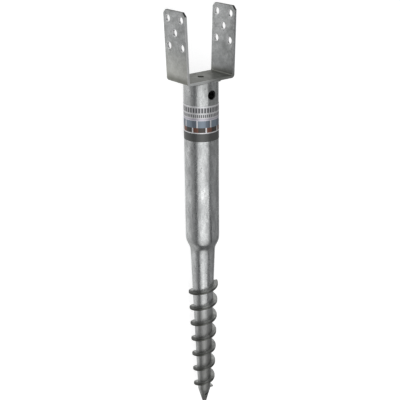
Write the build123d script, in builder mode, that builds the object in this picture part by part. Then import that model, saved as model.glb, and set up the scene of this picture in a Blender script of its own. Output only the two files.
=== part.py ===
"""Ground screw with a U-shaped post bracket, lying on its side.

Millimetres.  +X runs along the screw from the bracket to the point, Y runs across
the bracket from leg to leg, +Z is up.  The origin lies on the floor under the
middle of the screw's length.
"""
import os
from math import cos, pi, radians, sin, tan

from build123d import *

# ---- driving dimensions -------------------------------------------------------
tube_diameter = 60.0
wall = 3.0
tube_length = 285.0             # web underside to the start of the swaged shoulder
shoulder_length = 30.0
shaft_diameter = 44.0           # just below the shoulder
taper_length = 291.0
taper_end_diameter = 23.0
point_length = 38.0
point_flat_diameter = 2.4
point_cavity_length = 21.0      # how far the hollow runs on into the point

turning_hole_diameter = 16.0    # the bar that turns the screw in goes through here
turning_hole_from_web = 22.0

slit_width = 1.8                # open end of the seam where the point is closed
slit_length = 9.5
slit_from_taper_end = 7.5
slit_angle = 47.0               # leans away from the screw's axis
slit_turn = 92.0                # place round the point, from +Y towards +Z

plate_thickness = 4.0
plate_depth = 58.0
post_gap = 91.0                 # between the legs at the web, for a 90 mm post
leg_height = 116.0              # above the web
leg_splay = 2.2                 # degrees, each leg
bend_inner_radius = 2.0
leg_corner_clip = 6.5
bolt_hole_diameter = 12.0
bolt_row_spacing = 45.0         # along the leg
bolt_column_spacing = 35.0      # across the leg
bolt_pattern_from_top = 36.0    # middle of the pattern below the leg's top
web_hole_diameter = 11.0

weld_leg = 4.5
weld_clearance = 0.05

label_length = 62.0
label_from_web = 40.0
label_thickness = 0.25
label_clearance = 0.05
label_wrap = 325.0              # degrees of the tube that the label covers

flight_pitch = 32.6
flight_turns = 6.98
flight_width = 7.6
flight_thickness = 3.0
flight_clearance = 0.15
flight_from_taper = 66.0        # start of the flight, below the shoulder
flight_start_turn = 17.0        # start angle, from +Y towards +Z
flight_sections = 64            # straight stretches in each turn of the strip

# ---- places that follow from them ---------------------------------------------
tube_radius = tube_diameter / 2
shaft_radius = shaft_diameter / 2
taper_end_radius = taper_end_diameter / 2
axis_height = tube_radius

bracket_length = leg_height + plate_thickness
screw_length = tube_length + shoulder_length + taper_length + point_length
web_underside = bracket_length - (bracket_length + screw_length) / 2
web_top = web_underside - plate_thickness
leg_top = web_top - leg_height
shoulder_start = web_underside + tube_length
taper_start = shoulder_start + shoulder_length
taper_end = taper_start + taper_length
point_end = taper_end + point_length
taper_slope = (shaft_radius - taper_end_radius) / taper_length

screw_axis = Axis((0, 0, axis_height), (1, 0, 0))


def across(x, turn=0.0):
    """Plane square to the screw at x, its own x axis turned from +Y towards +Z."""
    direction = (0, cos(radians(turn)), sin(radians(turn)))
    return Plane(origin=(x, 0, axis_height), x_dir=direction, z_dir=(1, 0, 0))


def along(turn):
    """Plane that holds the screw's axis, its own y axis pointing outwards at turn."""
    normal = (0, -sin(radians(turn)), cos(radians(turn)))
    return Plane(origin=(0, 0, axis_height), x_dir=(1, 0, 0), z_dir=normal)


side_plane = along(90)
top_plane = along(0)


# ---- swaged tube with its point -------------------------------------------------
def half_section(inset, tip_x, tip_radius):
    """Half outline of the screw, moved inwards by inset, down to its axis."""
    middle = (shoulder_start + taper_start) / 2
    with BuildLine() as outline:
        Line((web_underside, 0), (web_underside, tube_radius - inset))
        Line((web_underside, tube_radius - inset), (shoulder_start, tube_radius - inset))
        Bezier(
            (shoulder_start, tube_radius - inset),
            (middle, tube_radius - inset),
            (middle, shaft_radius - inset + taper_slope * (taper_start - middle)),
            (taper_start, shaft_radius - inset),
        )
        Line((taper_start, shaft_radius - inset), (taper_end, taper_end_radius - inset))
        Line((taper_end, taper_end_radius - inset), (tip_x, tip_radius))
        Line((tip_x, tip_radius), (tip_x, 0))
        Line((tip_x, 0), (web_underside, 0))
    return outline.line


with BuildPart() as shaft_tube:
    with BuildSketch(side_plane):
        add(half_section(0, point_end, point_flat_diameter / 2))
        make_face()
    revolve(axis=screw_axis)
    with BuildSketch(side_plane):
        add(half_section(wall, taper_end + point_cavity_length, point_flat_diameter / 2))
        make_face()
    revolve(axis=screw_axis, mode=Mode.SUBTRACT)
    with BuildSketch(top_plane):
        with Locations((web_underside + turning_hole_from_web, 0)):
            Circle(turning_hole_diameter / 2)
    extrude(amount=tube_diameter, both=True, mode=Mode.SUBTRACT)
    slit_normal = (0, cos(radians(slit_turn)), sin(radians(slit_turn)))
    slit_plane = Plane(
        origin=(taper_end + slit_from_taper_end, 0, axis_height),
        x_dir=(1, 0, 0),
        z_dir=slit_normal,
    )
    with BuildSketch(slit_plane):
        SlotOverall(slit_length, slit_width, rotation=-slit_angle)
    extrude(amount=taper_end_diameter, mode=Mode.SUBTRACT)
shaft_tube.part.label = "shaft_tube"

# ---- helical flight -------------------------------------------------------------
flight_start = taper_start + flight_from_taper
flight_root = shaft_radius - taper_slope * flight_from_taper + flight_clearance
flight_middle = flight_root + flight_width / 2
flight_steps = round(flight_turns * flight_sections)


def flight_plane(turns):
    """Plane square to the strip's run after so many turns, its x axis pointing outwards."""
    turn = radians(flight_start_turn + 360 * turns)
    outwards = Vector(0, cos(turn), sin(turn))
    around = Vector(0, -sin(turn), cos(turn))
    advance = flight_pitch * turns
    radius = flight_middle - taper_slope * advance
    centre = Vector(flight_start + advance, 0, axis_height) + outwards * radius
    rise = flight_pitch / (2 * pi)
    run = around * radius + Vector(rise, 0, 0) - outwards * (taper_slope * rise)
    return Plane(origin=centre, x_dir=outwards, z_dir=run)


with BuildPart() as helix_flight:
    for step in range(flight_steps + 1):
        with BuildSketch(flight_plane(flight_turns * step / flight_steps)):
            Rectangle(flight_width, flight_thickness)
    loft(ruled=True)
helix_flight.part.label = "helix_flight"

# ---- folded U bracket -----------------------------------------------------------
splay_shift = leg_height * tan(radians(leg_splay))
slant = plate_thickness / cos(radians(leg_splay))


def leg_outline(side):
    """Inner and outer corner points of one leg, from its top down to the web."""
    inner_foot = side * post_gap / 2
    inner_top = side * (post_gap / 2 + splay_shift)
    outer_shift = plate_thickness * tan(radians(leg_splay))
    return [
        (leg_top, inner_top),
        (web_top, inner_foot),
        (web_underside, inner_foot + side * (slant - outer_shift)),
        (leg_top, inner_top + side * slant),
    ]


right_leg = leg_outline(1)
left_leg = leg_outline(-1)
bend_outer_radius = bend_inner_radius + plate_thickness

with BuildPart() as u_bracket:
    with BuildSketch(top_plane) as bracket_section:
        with BuildLine():
            Polyline(
                right_leg[0], right_leg[1], left_leg[1], left_leg[0],
                left_leg[3], left_leg[2], right_leg[2], right_leg[3],
                close=True,
            )
        make_face()
        corners = bracket_section.vertices().sort_by(Axis.X)
        fillet(corners[-2:], bend_outer_radius)
        corners = bracket_section.vertices().filter_by(
            lambda v: abs(v.X - web_top) < 0.01 and abs(abs(v.Y) - post_gap / 2) < 0.01
        )
        fillet(corners, bend_inner_radius)
    extrude(amount=plate_depth / 2, both=True)
    half_depth = plate_depth / 2
    with BuildSketch(side_plane):
        for edge in (-half_depth, half_depth):
            inward = leg_corner_clip if edge < 0 else -leg_corner_clip
            with BuildLine():
                Polyline(
                    (leg_top, edge), (leg_top + leg_corner_clip, edge), (leg_top, edge + inward),
                    close=True,
                )
            make_face()
    extrude(amount=post_gap, both=True, mode=Mode.SUBTRACT)
    with BuildSketch(side_plane):
        with Locations((leg_top + bolt_pattern_from_top, 0)):
            with GridLocations(bolt_row_spacing, bolt_column_spacing, 2, 2):
                Circle(bolt_hole_diameter / 2)
            Circle(bolt_hole_diameter / 2)
    extrude(amount=post_gap, both=True, mode=Mode.SUBTRACT)
    with BuildSketch(across(web_top - plate_thickness)):
        Circle(web_hole_diameter / 2)
    extrude(amount=3 * plate_thickness, mode=Mode.SUBTRACT)
u_bracket.part.label = "u_bracket"

# ---- weld bead between bracket and tube -----------------------------------------
with BuildPart() as bracket_weld:
    with BuildSketch(side_plane):
        with BuildLine():
            Polyline(
                (web_underside + weld_clearance, tube_radius + weld_clearance),
                (web_underside + weld_clearance, tube_radius + weld_leg),
                (web_underside + weld_leg, tube_radius + weld_clearance),
                close=True,
            )
        make_face()
    revolve(axis=screw_axis)
    with BuildSketch(across(web_underside)):
        Rectangle(4 * tube_radius, plate_depth)
    extrude(amount=2 * weld_leg, mode=Mode.INTERSECT)
bracket_weld.part.label = "bracket_weld"

# ---- wrap-round label -----------------------------------------------------------
label_inner = tube_radius + label_clearance
label_middle = web_underside + label_from_web + label_length / 2
with BuildPart() as label_band:
    with BuildSketch(along(90 - label_wrap / 2)):
        with Locations((label_middle, label_inner + label_thickness / 2)):
            Rectangle(label_length, label_thickness)
    revolve(axis=screw_axis, revolution_arc=label_wrap)
label_band.part.label = "label_band"

# ---- files ----------------------------------------------------------------------
os.makedirs("parts", exist_ok=True)
export_step(shaft_tube.part, "parts/shaft_tube.step")
export_step(helix_flight.part, "parts/helix_flight.step")
export_step(u_bracket.part, "parts/u_bracket.step")
export_step(bracket_weld.part, "parts/bracket_weld.step")
export_step(label_band.part, "parts/label_band.step")
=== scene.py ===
from math import atan2, cos, pi, radians, sin

import bmesh
import bpy
from mathutils import Matrix, Vector


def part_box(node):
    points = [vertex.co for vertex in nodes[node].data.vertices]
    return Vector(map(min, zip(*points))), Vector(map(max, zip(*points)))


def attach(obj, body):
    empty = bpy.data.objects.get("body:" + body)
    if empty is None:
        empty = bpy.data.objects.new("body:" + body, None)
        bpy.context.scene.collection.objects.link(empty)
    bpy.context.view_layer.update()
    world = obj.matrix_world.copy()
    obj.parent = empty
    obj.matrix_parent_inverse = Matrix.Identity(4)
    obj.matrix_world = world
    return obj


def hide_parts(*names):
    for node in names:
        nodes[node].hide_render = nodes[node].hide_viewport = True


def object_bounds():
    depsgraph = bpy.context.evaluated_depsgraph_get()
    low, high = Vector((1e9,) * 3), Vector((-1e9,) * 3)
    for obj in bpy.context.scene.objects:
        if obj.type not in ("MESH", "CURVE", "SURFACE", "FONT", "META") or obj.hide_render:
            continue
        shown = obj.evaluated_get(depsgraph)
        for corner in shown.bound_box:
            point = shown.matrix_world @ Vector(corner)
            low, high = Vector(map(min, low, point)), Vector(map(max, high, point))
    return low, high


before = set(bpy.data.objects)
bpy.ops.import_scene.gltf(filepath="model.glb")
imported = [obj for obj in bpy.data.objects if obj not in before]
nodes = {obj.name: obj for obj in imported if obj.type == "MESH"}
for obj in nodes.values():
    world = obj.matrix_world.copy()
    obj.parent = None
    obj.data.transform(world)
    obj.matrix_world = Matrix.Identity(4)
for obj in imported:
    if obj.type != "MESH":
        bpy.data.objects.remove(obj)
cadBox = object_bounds()
tubeLow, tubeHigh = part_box("shaft_tube")
flightLow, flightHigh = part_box("helix_flight")
labelLow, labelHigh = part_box("label_band")

# metres; the screw lies along X with its point at +X, and its right leg is at +Y
places = {
    "shoulderFromWeb": 0.285,
    "pointLength": 0.038,
    "taperSlope": 0.03608,  # metres of radius lost in each metre of the cone
    "slitFromPointStart": 0.0075,
    "slitSide": -0.0003,
    "slitLean": 47.0,
    "plateHalf": 0.029,
    "cornerClip": 0.0065,
    "holesFromTop": 0.036,
    "holeRow": 0.0225,
    "holeColumn": 0.0175,
    "holeRadius": 0.006,
}

axisHeight = (tubeLow[2] + tubeHigh[2]) / 2
webUnderside = tubeLow[0]
pointEnd = tubeHigh[0]
pointStart = pointEnd - places["pointLength"]
shoulderStart = webUnderside + places["shoulderFromWeb"]
flightStart = flightLow[0]
rimRadius = flightHigh[2] - axisHeight
legTop = cadBox[0][0]


def addNode(tree, kind, **settings):
    # an input takes the value where it has the name, and else a property does
    node = tree.nodes.new(kind)
    for name, value in settings.items():
        if name in node.inputs:
            node.inputs[name].default_value = value
        else:
            setattr(node, name, value)
    return node


def newMaterial(name):
    material = bpy.data.materials.new(name)
    material.use_nodes = True
    tree = material.node_tree
    tree.nodes.clear()
    output = tree.nodes.new("ShaderNodeOutputMaterial")
    shader = tree.nodes.new("ShaderNodeBsdfPrincipled")
    tree.links.new(shader.outputs["BSDF"], output.inputs["Surface"])
    return material, tree, shader


def newObject(name, mesh):
    data = bpy.data.meshes.new(name)
    mesh.to_mesh(data)
    mesh.free()
    obj = bpy.data.objects.new(name, data)
    bpy.context.scene.collection.objects.link(obj)
    return obj


def paint(obj, material):
    obj.data.materials.clear()
    obj.data.materials.append(material)


def smoothed(obj, angle):
    # edges sharper than angle, in degrees, stay sharp
    obj.data.shade_smooth()
    obj.data.set_sharp_from_angle(angle=radians(angle))


def grey(value):
    return (value, value, value)


def shifted(pair, start):
    return pair[0] + start, pair[1] + start


def axes(tree, where):
    split = tree.nodes.new("ShaderNodeSeparateXYZ")
    tree.links.new(where, split.inputs["Vector"])
    return split.outputs


def combine(tree, operation, *values):
    # a maths node on numbers and sockets
    node = addNode(tree, "ShaderNodeMath", operation=operation)
    for socket, value in zip(node.inputs, values):
        if isinstance(value, (int, float)):
            socket.default_value = value
        else:
            tree.links.new(value, socket)
    return node.outputs["Value"]


def product(tree, first, *others):
    for value in others:
        first = combine(tree, "MULTIPLY", first, value)
    return first


def length(tree, across, up):
    squares = combine(tree, "ADD", product(tree, across, across), product(tree, up, up))
    return combine(tree, "SQRT", squares)


def apart(tree, value, middle):
    # how far value is from middle, on either side
    return combine(tree, "ABSOLUTE", combine(tree, "SUBTRACT", value, middle))


def spread(tree, value, ends, amounts):
    # value between its two ends gives the two amounts, smoothly
    node = addNode(tree, "ShaderNodeMapRange", interpolation_type="SMOOTHSTEP")
    tree.links.new(value, node.inputs["Value"])
    node.inputs["From Min"].default_value = ends[0]
    node.inputs["From Max"].default_value = ends[1]
    node.inputs["To Min"].default_value = amounts[0]
    node.inputs["To Max"].default_value = amounts[1]
    return node.outputs["Result"]


def ramp(tree, factor, stops, interpolation="LINEAR"):
    # stops are (place, colour)
    node = tree.nodes.new("ShaderNodeValToRGB")
    node.color_ramp.interpolation = interpolation
    elements = node.color_ramp.elements
    while len(elements) > 1:
        elements.remove(elements[-1])
    for index, (place, colour) in enumerate(stops):
        element = elements[0] if index == 0 else elements.new(place)
        element.position = place
        element.color = (*colour, 1.0)
    tree.links.new(factor, node.inputs["Fac"])
    return node.outputs["Color"]


def mixColour(tree, factor, first, second, blend="MIX"):
    node = addNode(tree, "ShaderNodeMix", data_type="RGBA", blend_type=blend)
    # 0 is the factor of a colour mix, and 6 and 7 are its two colours
    for socket, value in ((node.inputs[0], factor), (node.inputs[6], first), (node.inputs[7], second)):
        if isinstance(value, tuple):
            socket.default_value = (*value, 1.0)
        elif isinstance(value, float):
            socket.default_value = value
        else:
            tree.links.new(value, socket)
    return node.outputs[2]


# what all the galvanised pieces share
zinc = {
    "spangleScale": 230.0,
    "spangleGreys": ((0.2, 0.78), (0.8, 1.0)),
    "spangleAmount": 0.75,
    "cloudScale": 70.0,
    "cloudDetail": 5.0,
    "cloudRoughness": 0.68,
    "cloudEnds": (0.34, 0.62),
    "grainScale": 420.0,
    "grainDetail": 2.0,
    "grainRoughness": 0.6,
    "grainGreys": ((0.34, 0.86), (0.66, 1.10)),
    "speckScale": 105.0,
    "speckSize": (0.055, 0.11),
    "speckColour": (0.10, 0.10, 0.095),
    "glossClouds": (0.3, 0.7),
    "glossChange": (0.10, -0.05),  # added to the roughness
    "grainBump": {"Strength": 0.14, "Distance": 0.0005},
    "cloudBump": {"Strength": 0.16, "Distance": 0.0008},
    "metallic": 0.92,
}


def galvanisedMaterial(name, look, stainsAndPaintedLight=()):
    material, tree, shader = newMaterial(name)
    links = tree.links
    where = tree.nodes.new("ShaderNodeTexCoord").outputs["Object"]
    drawn = addNode(tree, "ShaderNodeMapping", Scale=look.get("stretch", (1.0, 1.0, 1.0)))
    links.new(where, drawn.inputs["Vector"])

    spangle = addNode(tree, "ShaderNodeTexVoronoi", Scale=zinc["spangleScale"], Randomness=1.0)
    clouds = addNode(tree, "ShaderNodeTexNoise", Scale=zinc["cloudScale"], Detail=zinc["cloudDetail"],
                     Roughness=zinc["cloudRoughness"])
    grain = addNode(tree, "ShaderNodeTexNoise", Scale=zinc["grainScale"], Detail=zinc["grainDetail"],
                    Roughness=zinc["grainRoughness"])
    specks = addNode(tree, "ShaderNodeTexVoronoi", Scale=zinc["speckScale"], Randomness=1.0)
    for texture in (spangle, clouds):
        links.new(drawn.outputs["Vector"], texture.inputs["Vector"])
    for texture in (grain, specks):
        links.new(where, texture.inputs["Vector"])
    cloud = clouds.outputs["Fac"]

    darkEnd, paleEnd = zinc["cloudEnds"]
    colour = ramp(tree, cloud, [(darkEnd, look["dark"]), (paleEnd, look["colour"])])
    spangleGrey = tree.nodes.new("ShaderNodeRGBToBW")
    links.new(spangle.outputs["Color"], spangleGrey.inputs["Color"])
    spangleShade = ramp(tree, spangleGrey.outputs["Val"],
                        [(place, grey(value)) for place, value in zinc["spangleGreys"]])
    colour = mixColour(tree, zinc["spangleAmount"], colour, spangleShade, "MULTIPLY")
    grainShade = ramp(tree, grain.outputs["Fac"],
                      [(place, grey(value)) for place, value in zinc["grainGreys"]])
    colour = mixColour(tree, 1.0, colour, grainShade, "MULTIPLY")
    speckFull, speckEdge = zinc["speckSize"]
    speckMask = ramp(tree, specks.outputs["Distance"], [(speckFull, grey(1.0)), (speckEdge, grey(0.0))])
    colour = mixColour(tree, speckMask, colour, zinc["speckColour"])
    # stains, and painted light and shade, each mixed over the colour through its mask
    for stainOrPaintedLight in stainsAndPaintedLight:
        mask, shade = stainOrPaintedLight(tree, where, cloud)
        colour = mixColour(tree, mask, colour, shade)
    links.new(colour, shader.inputs["Base Color"])

    roughEnds = shifted(zinc["glossChange"], look["roughness"])
    rough = spread(tree, cloud, zinc["glossClouds"], roughEnds)
    if "lowerRoughness" in look:
        below = shifted(look["lowerRoughEnds"], flightStart)
        added = spread(tree, axes(tree, where)["X"], below, look["lowerRoughness"])
        rough = combine(tree, "ADD", rough, added)
    links.new(rough, shader.inputs["Roughness"])
    fineBump = addNode(tree, "ShaderNodeBump", **zinc["grainBump"])
    links.new(grain.outputs["Fac"], fineBump.inputs["Height"])
    broadBump = addNode(tree, "ShaderNodeBump", **zinc["cloudBump"])
    links.new(cloud, broadBump.inputs["Height"])
    links.new(fineBump.outputs["Normal"], broadBump.inputs["Normal"])
    links.new(broadBump.outputs["Normal"], shader.inputs["Normal"])
    shader.inputs["Metallic"].default_value = zinc["metallic"]
    return material


# tube; in each stain or painted shade a pair of places goes with the pair of amounts after it
tube = {
    "colour": (0.66, 0.67, 0.67),
    "dark": (0.46, 0.47, 0.47),
    "roughness": 0.25,
    "lowerRoughEnds": (-0.02, 0.12),  # from the flight's start
    "lowerRoughness": (0.0, 0.20),
    "stretch": (0.35, 1.0, 1.0),  # draws the clouds out along the tube
    "smoothAngle": 30,
    "weldHaze": {
        "colour": (0.27, 0.275, 0.27),
        "fromWeb": (0.012, 0.060),
        "amounts": (0.55, 0.0),
        "clouds": (0.35, 0.60),
        "cloudAmounts": (1.0, 0.45),
        "leftEdge": (-0.027, -0.020),
        "leftAmounts": (0.25, 1.0),
    },
    # painted shade on the shoulder, cutting the highlight short
    "shoulderPaintedShade": {
        "colour": (0.30, 0.305, 0.30),
        "begins": (-0.004, 0.006),
        "amounts": (0.0, 0.55),
        "ends": (0.022, 0.034),
    },
    "lowerDull": {
        "colour": (0.25, 0.252, 0.243),
        "fromFlight": (-0.04, 0.15),
        "amounts": (0.0, 0.95),
        "height": (-0.001, 0.006),
        "heightAmounts": (0.2, 1.0),
    },
    # dirt towards the point, with painted shade on the point's left side
    "pointDirtAndShade": {
        "colour": (0.10, 0.102, 0.09),
        "beforePoint": 0.020,
        "beforeEnd": 0.005,
        "amounts": (0.0, 0.85),
        "side": (-0.0055, 0.0),
        "sideAmounts": (1.0, 0.22),
    },
    # painted shade: a thin dark line for a fold in the wall
    "creasePaintedShade": {
        "colour": (0.03, 0.03, 0.032),
        "side": 0.0042,  # towards the left leg
        "wander": (0.0045, -0.0022),  # times the clouds, and added
        "width": (0.0004, 0.0011),
        "amounts": (0.85, 0.0),
        "begins": (-0.058, -0.030),  # from the shoulder
        "ends": (0.002, 0.012),
        "height": (0.0, 0.01),
    },
    # painted shade in and about the slit of the point
    "slitPaintedShade": {
        "colour": (0.02, 0.02, 0.02),
        "width": (0.0011, 0.0019),
        "length": (0.0045, 0.0056),
        "lengthAmounts": (0.92, 0.0),
        "height": (0.0, 0.003),
    },
}


def weldHaze(tree, where, clouds):
    # duller zinc on the tube's end, where the weld burnt it
    look = tube["weldHaze"]
    place = axes(tree, where)
    mask = spread(tree, place["X"], shifted(look["fromWeb"], webUnderside), look["amounts"])
    patchy = spread(tree, clouds, look["clouds"], look["cloudAmounts"])
    left = spread(tree, place["Y"], look["leftEdge"], look["leftAmounts"])
    return product(tree, mask, patchy, left), look["colour"]


def shoulderPaintedShade(tree, where, clouds):
    # painted shade: a darker patch on the shoulder that cuts the tube's highlight short
    look = tube["shoulderPaintedShade"]
    x = axes(tree, where)["X"]
    begins = spread(tree, x, shifted(look["begins"], shoulderStart), look["amounts"])
    ends = spread(tree, x, shifted(look["ends"], shoulderStart), (1.0, 0.0))
    return product(tree, begins, ends), look["colour"]


def lowerDull(tree, where, clouds):
    # the shaft's lower half, greyer towards the point
    look = tube["lowerDull"]
    place = axes(tree, where)
    mask = spread(tree, place["X"], shifted(look["fromFlight"], flightStart), look["amounts"])
    upper = spread(tree, place["Z"], shifted(look["height"], axisHeight), look["heightAmounts"])
    return product(tree, mask, upper), look["colour"]


def pointDirtAndShade(tree, where, clouds):
    # dirt at the lower end, darkest at the point, with painted shade on its left side
    look = tube["pointDirtAndShade"]
    place = axes(tree, where)
    mask = spread(tree, place["X"], (pointStart - look["beforePoint"], pointEnd - look["beforeEnd"]),
                  look["amounts"])
    left = spread(tree, place["Y"], look["side"], look["sideAmounts"])
    return product(tree, mask, left), look["colour"]


def creasePaintedShade(tree, where, clouds):
    # painted shade: a thin dark line for a fold in the wall that runs into the shoulder
    look = tube["creasePaintedShade"]
    place = axes(tree, where)
    wander = combine(tree, "MULTIPLY_ADD", clouds, *look["wander"])
    across = combine(tree, "ADD", combine(tree, "ADD", place["Y"], look["side"]), wander)
    line = spread(tree, combine(tree, "ABSOLUTE", across), look["width"], look["amounts"])
    begins = spread(tree, place["X"], shifted(look["begins"], shoulderStart), (0.0, 1.0))
    ends = spread(tree, place["X"], shifted(look["ends"], shoulderStart), (1.0, 0.0))
    upper = spread(tree, place["Z"], shifted(look["height"], axisHeight), (0.0, 1.0))
    return product(tree, line, begins, ends, upper), look["colour"]


def slitPaintedShade(tree, where, clouds):
    # painted shade: black in and about the open slit of the point
    look = tube["slitPaintedShade"]
    place = axes(tree, where)
    x = combine(tree, "SUBTRACT", place["X"], pointStart + places["slitFromPointStart"])
    y = combine(tree, "SUBTRACT", place["Y"], places["slitSide"])
    lean = radians(places["slitLean"])
    off = combine(tree, "ADD", product(tree, x, sin(lean)), product(tree, y, cos(lean)))
    run = combine(tree, "SUBTRACT", product(tree, x, cos(lean)), product(tree, y, sin(lean)))
    near = spread(tree, combine(tree, "ABSOLUTE", off), look["width"], (1.0, 0.0))
    ends = spread(tree, combine(tree, "ABSOLUTE", run), look["length"], look["lengthAmounts"])
    upper = spread(tree, place["Z"], shifted(look["height"], axisHeight), (0.0, 1.0))
    return product(tree, near, ends, upper), look["colour"]


# stains, and painted shade on the shoulder, the crease, the slit and the point's left side
tubeStainsAndPaintedShade = (weldHaze, shoulderPaintedShade, lowerDull, pointDirtAndShade, creasePaintedShade, slitPaintedShade)
smoothed(nodes["shaft_tube"], tube["smoothAngle"])
paint(nodes["shaft_tube"], galvanisedMaterial("galvanisedTube", tube, tubeStainsAndPaintedShade))
print("tube done")

# folded bracket
plate = {
    "colour": (0.56, 0.57, 0.57),
    "dark": (0.41, 0.42, 0.415),
    "roughness": 0.42,
    "smoothAngle": 30,
    "legTint": {
        "colour": (0.55, 0.55, 0.50),
        "fromWeb": (-0.075, -0.010),
        "amounts": (0.0, 0.60),
        "side": (-0.046, -0.030),
    },
    # painted shade low on the right leg
    "legPaintedShade": {
        "colour": (0.32, 0.33, 0.335),
        "fromWeb": (-0.075, -0.010),
        "amounts": (0.0, 0.45),
        "side": (0.040, 0.044),
    },
    # painted shade in the fold and on the web
    "foldPaintedShade": {
        "colour": (0.17, 0.172, 0.145),
        "fromWeb": (-0.018, -0.003),
        "amounts": (0.0, 0.72),
    },
    # painted highlight on the plate's long edges
    "edgePaintedHighlight": {
        "colour": (0.86, 0.87, 0.86),
        "fromAxis": (0.0280, 0.0289),
        "amounts": (0.0, 0.90),
        "side": (-0.02, 0.02),
        "sideAmounts": (1.0, 0.15),
    },
    "topDarkening": {
        "colour": (0.13, 0.132, 0.125),
        "fromTop": (0.0002, 0.0009),
        "topAmounts": (0.75, 0.0),
        "fromClip": (0.0001, 0.0009),
        "clipAmounts": (0.80, 0.0),
    },
    # painted light on the walls of the bolt holes
    "holeWallPaintedLight": {
        "colour": (0.95, 0.95, 0.95),
        "fromRadius": (0.0001, 0.0004),
    },
}


def legTint(tree, where, clouds):
    # a faint olive cast on the left leg's lower half
    look = plate["legTint"]
    place = axes(tree, where)
    mask = spread(tree, place["X"], shifted(look["fromWeb"], webUnderside), look["amounts"])
    left = spread(tree, place["Y"], look["side"], (1.0, 0.0))
    return product(tree, mask, left), look["colour"]


def legPaintedShade(tree, where, clouds):
    # painted shade: darker bluish grey low on the right leg
    look = plate["legPaintedShade"]
    place = axes(tree, where)
    mask = spread(tree, place["X"], shifted(look["fromWeb"], webUnderside), look["amounts"])
    right = spread(tree, place["Y"], look["side"], (0.0, 1.0))
    return product(tree, mask, right), look["colour"]


def foldPaintedShade(tree, where, clouds):
    # painted shade: dark olive grey in the fold and on the web
    look = plate["foldPaintedShade"]
    x = axes(tree, where)["X"]
    return spread(tree, x, shifted(look["fromWeb"], webUnderside), look["amounts"]), look["colour"]


def edgePaintedHighlight(tree, where, clouds):
    # painted highlight: bright on the plate's long edges, above all the left leg's
    look = plate["edgePaintedHighlight"]
    place = axes(tree, where)
    mask = spread(tree, apart(tree, place["Z"], axisHeight), look["fromAxis"], look["amounts"])
    left = spread(tree, place["Y"], look["side"], look["sideAmounts"])
    return product(tree, mask, left), look["colour"]


def topDarkening(tree, where, clouds):
    # dark sheared faces at the legs' tops and clipped corners
    look = plate["topDarkening"]
    place = axes(tree, where)
    below = combine(tree, "SUBTRACT", place["X"], legTop)
    top = spread(tree, below, look["fromTop"], look["topAmounts"])
    inward = combine(tree, "SUBTRACT", places["plateHalf"], apart(tree, place["Z"], axisHeight))
    past = combine(tree, "SUBTRACT", combine(tree, "ADD", below, inward), places["cornerClip"])
    clip = spread(tree, past, look["fromClip"], look["clipAmounts"])
    return combine(tree, "MAXIMUM", top, clip), look["colour"]


def holeWallPaintedLight(tree, where, clouds):
    # painted light: near-white on the walls of the bolt holes
    look = plate["holeWallPaintedLight"]
    place = axes(tree, where)
    raised = apart(tree, place["Z"], axisHeight)
    fromMiddle = combine(tree, "SUBTRACT", place["X"], legTop + places["holesFromTop"])
    rows = combine(tree, "SUBTRACT", combine(tree, "ABSOLUTE", fromMiddle), places["holeRow"])
    columns = combine(tree, "SUBTRACT", raised, places["holeColumn"])
    nearest = combine(tree, "MINIMUM", length(tree, rows, columns), length(tree, fromMiddle, raised))
    mask = spread(tree, nearest, shifted(look["fromRadius"], places["holeRadius"]), (1.0, 0.0))
    return mask, look["colour"]


# stains, and painted shade, a painted highlight and painted light on the bracket
plateStainsAndPaintedLight = (legTint, legPaintedShade, foldPaintedShade, edgePaintedHighlight, topDarkening, holeWallPaintedLight)
smoothed(nodes["u_bracket"], plate["smoothAngle"])
paint(nodes["u_bracket"], galvanisedMaterial("galvanisedPlate", plate, plateStainsAndPaintedLight))
print("bracket done")

# flight; its dark marks follow the rim's radius as the cone tapers
flight = {
    "colour": (0.70, 0.71, 0.69),
    "dark": (0.50, 0.51, 0.49),
    "roughness": 0.44,
    "smoothAngle": 40,
    "leftSideDarkening": {
        "colour": (0.055, 0.057, 0.05),
        "share": (-0.80, -0.40),  # of the rim's radius, to the left
        "amounts": (0.88, 0.0),
    },
    "rimDirt": {
        "colour": (0.085, 0.087, 0.078),
        "inset": (0.0006, 0.0016),
        "amounts": (0.86, 0.0),
        "share": (0.20, 0.70),
        "shareAmounts": (1.0, 0.30),
    },
}


def rimAt(tree, place):
    slope = places["taperSlope"]
    return combine(tree, "MULTIPLY_ADD", place["X"], -slope, rimRadius + slope * flightStart)


def leftSideDarkening(tree, where, clouds):
    # the strip's left side, nearly black
    look = flight["leftSideDarkening"]
    place = axes(tree, where)
    share = combine(tree, "DIVIDE", place["Y"], rimAt(tree, place))
    return spread(tree, share, look["share"], look["amounts"]), look["colour"]


def rimDirt(tree, where, clouds):
    # the strip's outer rim, black from soil and handling, less so on the right
    look = flight["rimDirt"]
    place = axes(tree, where)
    rim = rimAt(tree, place)
    raised = combine(tree, "SUBTRACT", place["Z"], axisHeight)
    inset = combine(tree, "SUBTRACT", rim, length(tree, place["Y"], raised))
    mask = spread(tree, inset, look["inset"], look["amounts"])
    right = spread(tree, combine(tree, "DIVIDE", place["Y"], rim), look["share"], look["shareAmounts"])
    return product(tree, mask, right), look["colour"]


smoothed(nodes["helix_flight"], flight["smoothAngle"])
paint(nodes["helix_flight"], galvanisedMaterial("galvanisedFlight", flight, (leftSideDarkening, rimDirt)))
print("flight done")

# weld bead between web and tube
bead = {
    "colour": (0.66, 0.67, 0.65),
    "dark": (0.40, 0.41, 0.39),
    "roughness": 0.36,
    "ripples": 46,
    "sections": 276,
    "rings": 10,
    "sideCentre": 0.0310,
    "sideRadius": 0.0030,
    "faceCentre": 0.0286,
    "faceRadius": 0.0013,
    "flatness": 0.9,
    "sideGrowth": 1.35,  # how soon the bead is full beside the web's edges
    "drop": 0.0012,  # below the web's underside
    "rippleDepth": 0.0004,
    "mergeDistance": 0.00001,
}


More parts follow.
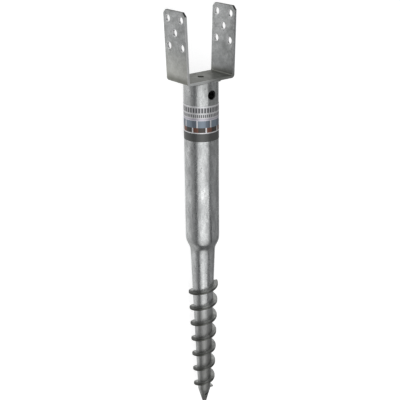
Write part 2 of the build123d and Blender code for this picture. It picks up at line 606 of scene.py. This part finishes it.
def weldBead():
    # a small circle spun about the screw, then thinned on the faces and rippled in the side corners
    mesh = bmesh.new()
    bmesh.ops.create_circle(mesh, segments=bead["rings"], radius=bead["sideRadius"])
    bmesh.ops.translate(mesh, verts=mesh.verts, vec=(webUnderside, bead["sideCentre"], axisHeight))
    bmesh.ops.spin(mesh, geom=mesh.verts[:] + mesh.edges[:], cent=(webUnderside, 0.0, axisHeight),
                   axis=(1.0, 0.0, 0.0), angle=2 * pi, steps=bead["sections"], use_merge=True)
    bmesh.ops.remove_doubles(mesh, verts=mesh.verts, dist=bead["mergeDistance"])
    for vert in mesh.verts:
        outwards = Vector((0.0, vert.co.y, vert.co.z - axisHeight))
        turn = atan2(outwards.z, outwards.y)
        side = min(1.0, abs(cos(turn)) * bead["sideGrowth"]) ** 2
        wave = sin(bead["ripples"] * turn)
        centre = bead["faceCentre"] + side * (bead["sideCentre"] - bead["faceCentre"])
        radius = bead["faceRadius"] + side * (bead["sideRadius"] - bead["faceRadius"])
        radius += side * bead["rippleDepth"] * wave
        radius -= (1 - side) * bead["rippleDepth"] * (0.5 + 0.5 * wave)
        scale = radius / bead["sideRadius"]
        reach = centre + (outwards.length - bead["sideCentre"]) * scale
        rise = (vert.co.x - webUnderside) * scale * bead["flatness"]
        x = webUnderside + bead["drop"] * side + rise
        vert.co = Vector((x, 0.0, axisHeight)) + outwards.normalized() * reach
    bmesh.ops.recalc_face_normals(mesh, faces=mesh.faces)
    obj = newObject("weldBead", mesh)
    obj.data.shade_smooth()
    return obj


beadObject = weldBead()
paint(beadObject, galvanisedMaterial("weldMetal", bead))
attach(beadObject, "root")
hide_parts("bracket_weld")
print("weld bead done")

# label; places along it go from 0 at the bracket's end to 1
label = {
    "film": (0.64, 0.64, 0.65),
    "pale": (0.78, 0.78, 0.80),
    "ink": (0.12, 0.12, 0.13),
    "charcoal": (0.105, 0.107, 0.105),
    "lilac": (0.50, 0.47, 0.56),
    "blueGrey": (0.22, 0.265, 0.32),
    "slate": (0.16, 0.19, 0.23),
    "brown": (0.19, 0.09, 0.065),
    "soil": (0.07, 0.06, 0.055),
    "roughness": 0.36,
    "metallic": 0.45,
    "paleEdge": 0.02,
    "bars": (0.05, 0.18),
    "barCount": 38,
    "barEnd": 0.66,
    "smallBars": (0.23, 0.31),
    "smallBarCount": 54,
    "smallBarOffset": 0.3,
    "smallBarStart": 0.42,
    "lilacLine": (0.35, 0.385),
    "fieldCount": 8,
    "fieldEnd": 0.90,
    "upperFields": (0.40, 0.60),
    "upperOffset": 0.10,
    "upperSplit": 0.56,
    "lowerFields": (0.60, 0.735),
    "lowerOffset": 0.45,
    "lowerSplit": 0.38,
    "charcoalStart": 0.765,
}


def labelMaterial():
    material, tree, shader = newMaterial("labelFilm")
    place = axes(tree, tree.nodes.new("ShaderNodeTexCoord").outputs["Object"])
    along = tree.nodes.new("ShaderNodeMapRange")
    tree.links.new(place["X"], along.inputs["Value"])
    along.inputs["From Min"].default_value = labelLow[0]
    along.inputs["From Max"].default_value = labelHigh[0]
    along = along.outputs["Result"]
    turn = combine(tree, "ARCTAN2", place["Y"], combine(tree, "SUBTRACT", place["Z"], axisHeight))

    def repeatRound(count, offset):
        return combine(tree, "FRACT", combine(tree, "MULTIPLY_ADD", turn, count / (2 * pi), offset))

    def between(ends):
        stops = [(0.0, grey(0.0)), (ends[0], grey(1.0)), (ends[1], grey(0.0))]
        return ramp(tree, along, stops, "CONSTANT")

    def fields(offset, split, first, second):
        stops = [(0.0, label[first]), (split, label[second]), (label["fieldEnd"], label["pale"])]
        return ramp(tree, repeatRound(label["fieldCount"], offset), stops, "CONSTANT")

    bars = ramp(tree, repeatRound(label["barCount"], 0.0),
                [(0.0, label["ink"]), (label["barEnd"], label["film"])], "CONSTANT")
    smallBars = ramp(tree, repeatRound(label["smallBarCount"], label["smallBarOffset"]),
                     [(0.0, label["film"]), (label["smallBarStart"], label["ink"])], "CONSTANT")
    upperFields = fields(label["upperOffset"], label["upperSplit"], "blueGrey", "slate")
    lowerFields = fields(label["lowerOffset"], label["lowerSplit"], "brown", "soil")
    lilacStart, lilacEnd = label["lilacLine"]
    colour = ramp(tree, along, [
        (0.0, label["pale"]), (label["paleEdge"], label["film"]), (lilacStart, label["lilac"]),
        (lilacEnd, label["pale"]), (label["charcoalStart"], label["charcoal"]),
    ], "CONSTANT")
    for ends, pattern in (("bars", bars), ("smallBars", smallBars),
                          ("upperFields", upperFields), ("lowerFields", lowerFields)):
        colour = mixColour(tree, between(label[ends]), colour, pattern)
    tree.links.new(colour, shader.inputs["Base Color"])
    shader.inputs["Roughness"].default_value = label["roughness"]
    shader.inputs["Metallic"].default_value = label["metallic"]
    return material


paint(nodes["label_band"], labelMaterial())
print("label done")

# floor
floor = {
    "size": 14.0,
    "colour": (0.45, 0.45, 0.45),
    "roughness": 0.9,
    "shown": 0.80,  # what the camera sees
    "aside": (0.07, 0.15),
    "glows": (0.50, 0.04),  # what the steel sees, near it and further aside
}


def makeFloor():
    mesh = bmesh.new()
    bmesh.ops.create_grid(mesh, x_segments=1, y_segments=1, size=floor["size"] / 2)
    obj = newObject("floor", mesh)
    material, tree, shader = newMaterial("paleFloor")
    shader.inputs["Base Color"].default_value = (*floor["colour"], 1.0)
    shader.inputs["Roughness"].default_value = floor["roughness"]
    shader.inputs["Emission Color"].default_value = (1.0, 1.0, 1.0, 1.0)
    isCamera = tree.nodes.new("ShaderNodeLightPath").outputs["Is Camera Ray"]
    where = tree.nodes.new("ShaderNodeTexCoord").outputs["Object"]
    glow = spread(tree, combine(tree, "ABSOLUTE", axes(tree, where)["Y"]), floor["aside"], floor["glows"])
    shown = combine(tree, "MULTIPLY", isCamera, floor["shown"])
    others = combine(tree, "SUBTRACT", 1.0, isCamera)
    tree.links.new(combine(tree, "MULTIPLY_ADD", glow, others, shown), shader.inputs["Emission Strength"])
    paint(obj, material)


# world and lamps; turns are degrees from straight above towards the left leg
worldLook = {
    "colour": (0.80, 0.82, 0.85),
    "strength": 0.13,
}

lampsAlong = 1.1  # the lamps' middles, towards the point
lamps = {
    "key": {"turn": 29.3, "distance": 2.2, "size": (5.6, 3.25), "power": 55.0},
    "core": {"turn": 31.0, "distance": 2.3, "size": (5.6, 1.2), "power": 8.5},
    "fill": {"turn": -55.0, "distance": 2.2, "size": (5.6, 2.5), "power": 9.5},
}


def makeWorld():
    world = bpy.data.worlds.new("studio")
    world.use_nodes = True
    background = world.node_tree.nodes["Background"]
    background.inputs["Color"].default_value = (*worldLook["colour"], 1.0)
    background.inputs["Strength"].default_value = worldLook["strength"]
    bpy.context.scene.world = world


def makeLamp(name, look):
    # a soft box beside the screw that faces its axis
    lamp = bpy.data.lights.new(name, "AREA")
    lamp.shape = "RECTANGLE"
    lamp.size, lamp.size_y = look["size"]
    lamp.energy = look["power"]
    turn = radians(look["turn"])
    direction = Vector((0.0, -sin(turn), cos(turn)))
    along = Vector((1.0, 0.0, 0.0))
    rotation = Matrix((along, direction.cross(along), direction)).transposed()
    middle = Vector((lampsAlong, 0.0, axisHeight)) + direction * look["distance"]
    obj = bpy.data.objects.new(name, lamp)
    bpy.context.scene.collection.objects.link(obj)
    obj.matrix_world = Matrix.Translation(middle) @ rotation.to_4x4()


# camera
view = {
    "target": 0.0433,  # along the screw, from the middle towards the bracket
    "turn": 38.02,  # degrees from straight above towards the left leg
    "rise": 21.29,  # degrees towards the bracket end
    "roll": -0.63,
    "distance": 1.60828,
    "lens": 81.72,
    "sensorWidth": 36.0,
    "sideShift": -0.0054,
    "clipEnd": 50.0,
}


def makeCamera():
    # looks down on the screw from its left, with the bracket at the top of the picture
    camera = bpy.data.cameras.new("camera")
    camera.lens = view["lens"]
    camera.sensor_width = view["sensorWidth"]
    camera.shift_x = view["sideShift"]
    camera.clip_end = view["clipEnd"]
    rise = radians(view["rise"])
    turn = radians(view["turn"])
    back = Vector((-sin(rise), -sin(turn) * cos(rise), cos(turn) * cos(rise)))
    right = Vector((-1.0, 0.0, 0.0)).cross(back).normalized()
    up = back.cross(right)
    roll = Matrix.Rotation(radians(view["roll"]), 3, back)
    rotation = Matrix((roll @ right, roll @ up, back)).transposed()
    target = Vector((-view["target"], 0.0, axisHeight))
    obj = bpy.data.objects.new("camera", camera)
    bpy.context.scene.collection.objects.link(obj)
    obj.matrix_world = Matrix.Translation(target + back * view["distance"]) @ rotation.to_4x4()
    bpy.context.scene.camera = obj


makeFloor()
makeWorld()
makeCamera()
for lampName, lampLook in lamps.items():
    makeLamp(lampName, lampLook)
bpy.context.scene.view_settings.view_transform = "Standard"
print("studio done")
